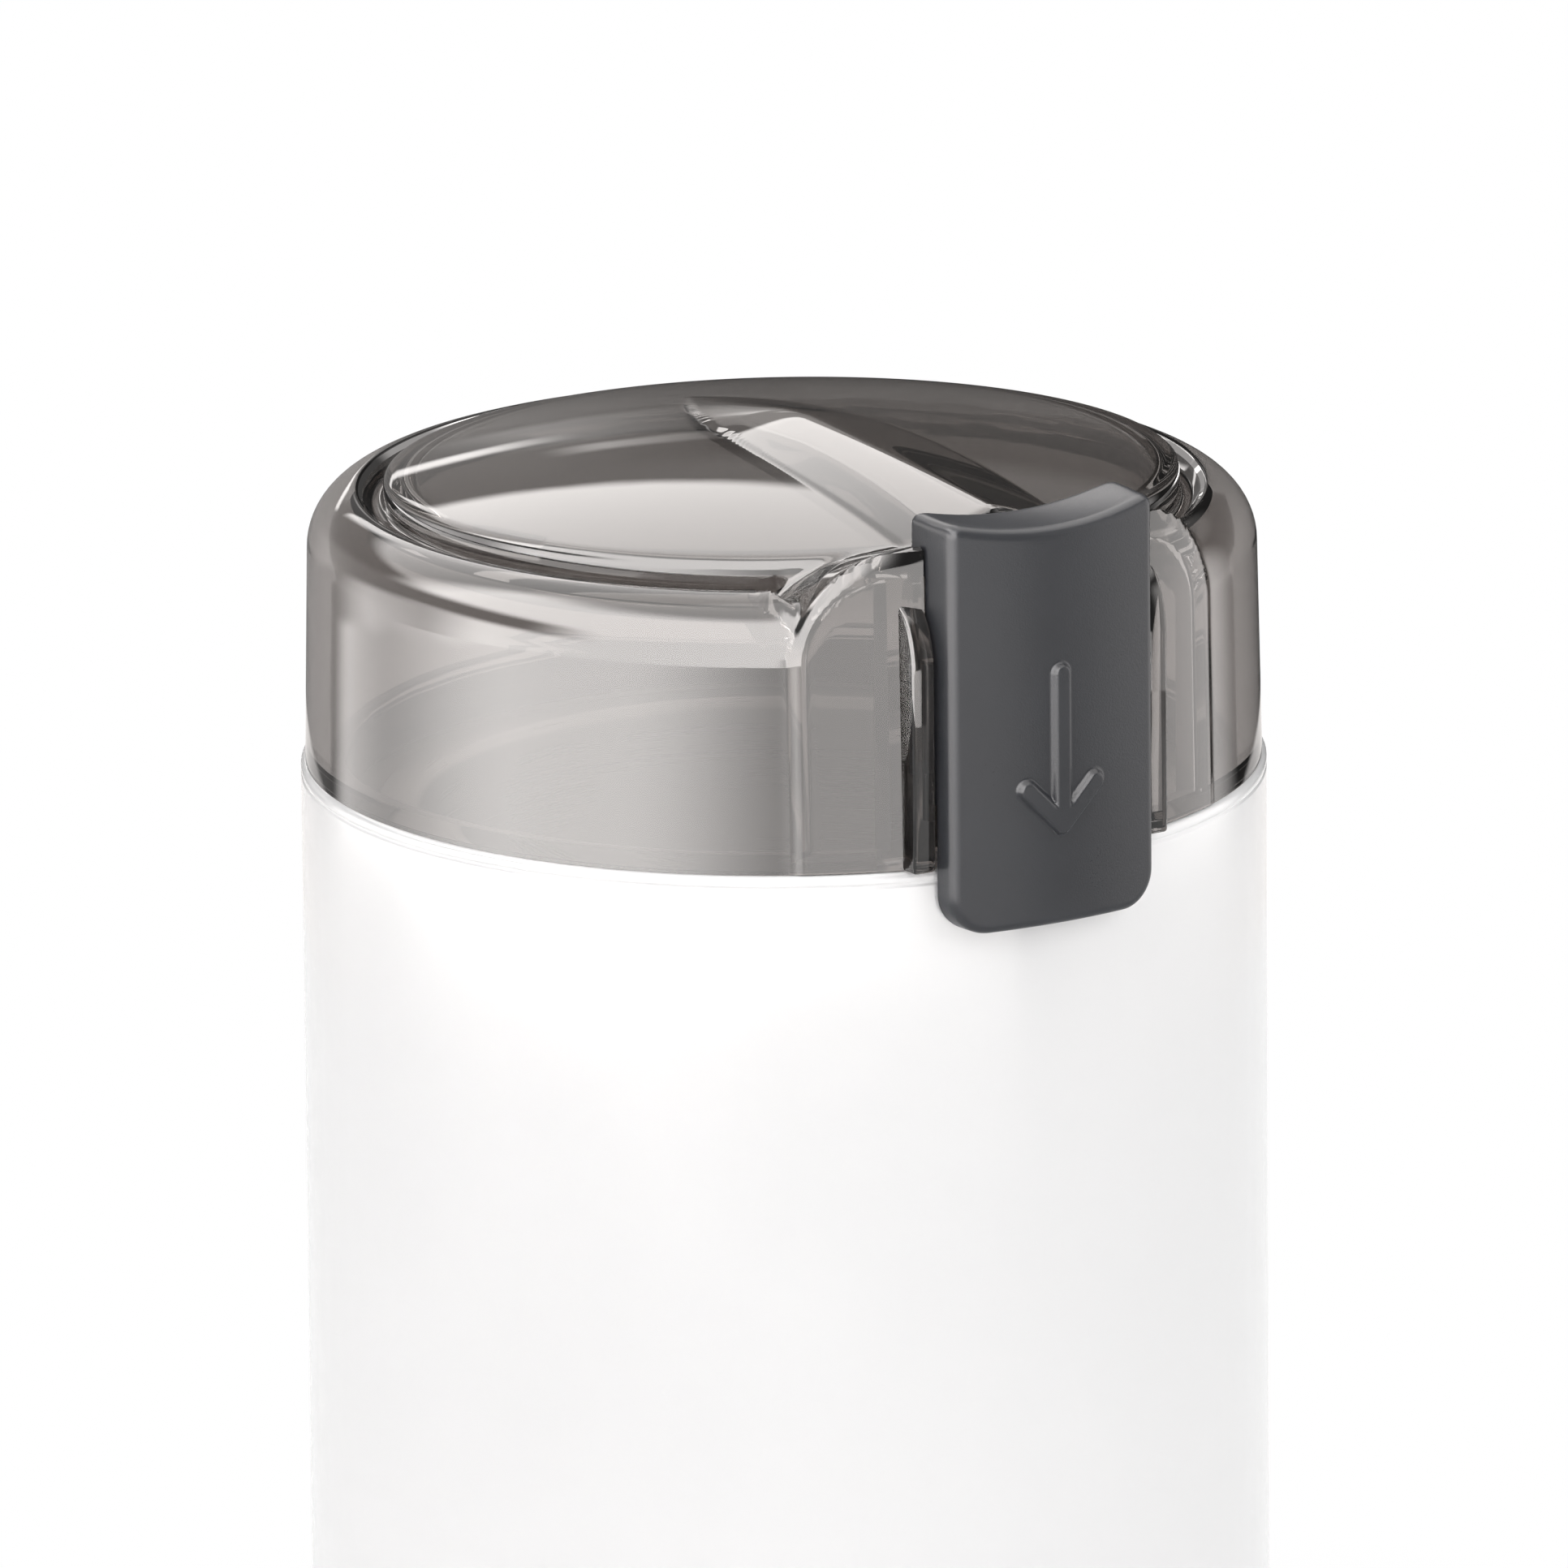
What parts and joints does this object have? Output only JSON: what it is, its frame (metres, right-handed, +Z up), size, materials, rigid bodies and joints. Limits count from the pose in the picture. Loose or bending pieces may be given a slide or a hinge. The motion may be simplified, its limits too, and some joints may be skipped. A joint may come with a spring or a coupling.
{
  "type": "electric spice grinder",
  "caption": "Upright electric blade grinder for spices: white motor base, steel bowl with spinning blade, smoked clear lid carrying a sliding push button.",
  "frame": {"origin": "middle of the footprint on the table, under the body's axis", "axes": "+Z up along the motor shaft; -Y towards the push button; +Y towards the lead entry at the back"},
  "size_m": [0.088, 0.0948, 0.1655],
  "materials": {
    "white_shell": "glossy injection-moulded, white",
    "base_plastic": "fine satin moulding",
    "rubber_pads": "matt rubber",
    "rubber_gland": "matt rubber",
    "zinc_screws": "zinc-plated",
    "frame_plastic": "natural satin moulding",
    "bowl_steel": "deep-drawn stainless, satin",
    "gasket_rubber": "soft rubber",
    "seal_rubber": "soft rubber",
    "smoke_clear": "clear smoked SAN plastic, polished",
    "button_plastic": "satin anthracite moulding",
    "rod_plastic": "natural acetal",
    "spring_wire": "drawn spring wire",
    "switch_plastic": "phenolic moulding",
    "lever_brass": "stamped",
    "plunger_plastic": "moulded",
    "terminal_brass": "stamped",
    "shaft_steel": "ground",
    "laminated_steel": "stacked laminations",
    "copper_windings": "enamelled wire",
    "commutator_copper": "turned copper bars",
    "fan_plastic": "natural moulding",
    "blade_steel": "ground stainless",
    "bracket_steel": "pressed sheet",
    "carbon": "pressed carbon",
    "suppressor_case": "moulded box",
    "lead_insulation": "insulated wire"
  },
  "bodies": {
    "base": {"housing": "white_shell", "base_plate": "base_plastic", "rubber_feet": "rubber_pads", "base_screws": "zinc_screws", "lead_gland": "rubber_gland", "bowl_chassis": "frame_plastic", "grinding_bowl": "bowl_steel", "bowl_gasket": "gasket_rubber", "shaft_seal": "seal_rubber", "return_spring": "spring_wire", "switch_case": "switch_plastic", "switch_terminals": "terminal_brass", "switch_screws": "zinc_screws", "upper_bearing": "shaft_steel", "lower_bearing": "shaft_steel", "upper_bracket": "bracket_steel", "lower_bracket": "bracket_steel", "stator_core": "laminated_steel", "field_coils": "copper_windings", "motor_spacers": "zinc_screws", "motor_screws": "zinc_screws", "brush_holders": "terminal_brass", "carbon_brushes": "carbon", "brush_springs": "spring_wire", "suppressor": "suppressor_case", "terminal_block": "fan_plastic", "inner_leads": "lead_insulation"},
    "lid": {"lid": "smoke_clear"},
    "button": {"push_button": "button_plastic"},
    "push_rod": {"push_rod": "rod_plastic"},
    "switch_lever": {"switch_lever": "lever_brass"},
    "switch_plunger": {"switch_plunger": "plunger_plastic"},
    "rotor": {"motor_shaft": "shaft_steel", "armature_core": "laminated_steel", "armature_windings": "copper_windings", "commutator": "commutator_copper", "cooling_fan": "fan_plastic", "blade_bush": "shaft_steel", "blade": "blade_steel", "blade_nut": "blade_steel"}
  },
  "joints": [
    {"name": "lid_lift", "type": "slide", "parent": "base", "child": "lid", "axis": [0, 0, 1], "range_m": [0, 0.06]},
    {"name": "button_press", "type": "slide", "parent": "lid", "child": "button", "axis": [0, 0, -1], "range_m": [0, 0.004], "stiffness_N_per_m": 400, "springref_m": -0.003},
    {"name": "rod_slide", "type": "slide", "parent": "base", "child": "push_rod", "axis": [0, 0, -1], "range_m": [0, 0.004], "stiffness_N_per_m": 300, "springref_m": -0.003, "deforming": ["return_spring"]},
    {"name": "lever_hinge", "type": "hinge", "parent": "base", "child": "switch_lever", "pos_m": [-0.016, -0.0342, 0.0538], "axis": [0, 1, 0], "range_deg": [0, 14.1]},
    {"name": "plunger_slide", "type": "slide", "parent": "base", "child": "switch_plunger", "axis": [0, 0, -1], "range_m": [0, 0.00074]},
    {"name": "rotor_spin", "type": "hinge", "parent": "base", "child": "rotor", "pos_m": [0, 0, 0.058], "axis": [0, 0, 1], "continuous": true}
  ],
  "couplings": [
    {"joint": "rod_slide", "follows": "button_press", "ratio": 1},
    {"joint": "lever_hinge", "follows": "button_press", "rad_per_m": 61.245},
    {"joint": "plunger_slide", "follows": "button_press", "ratio": 0.1824}
  ]
}
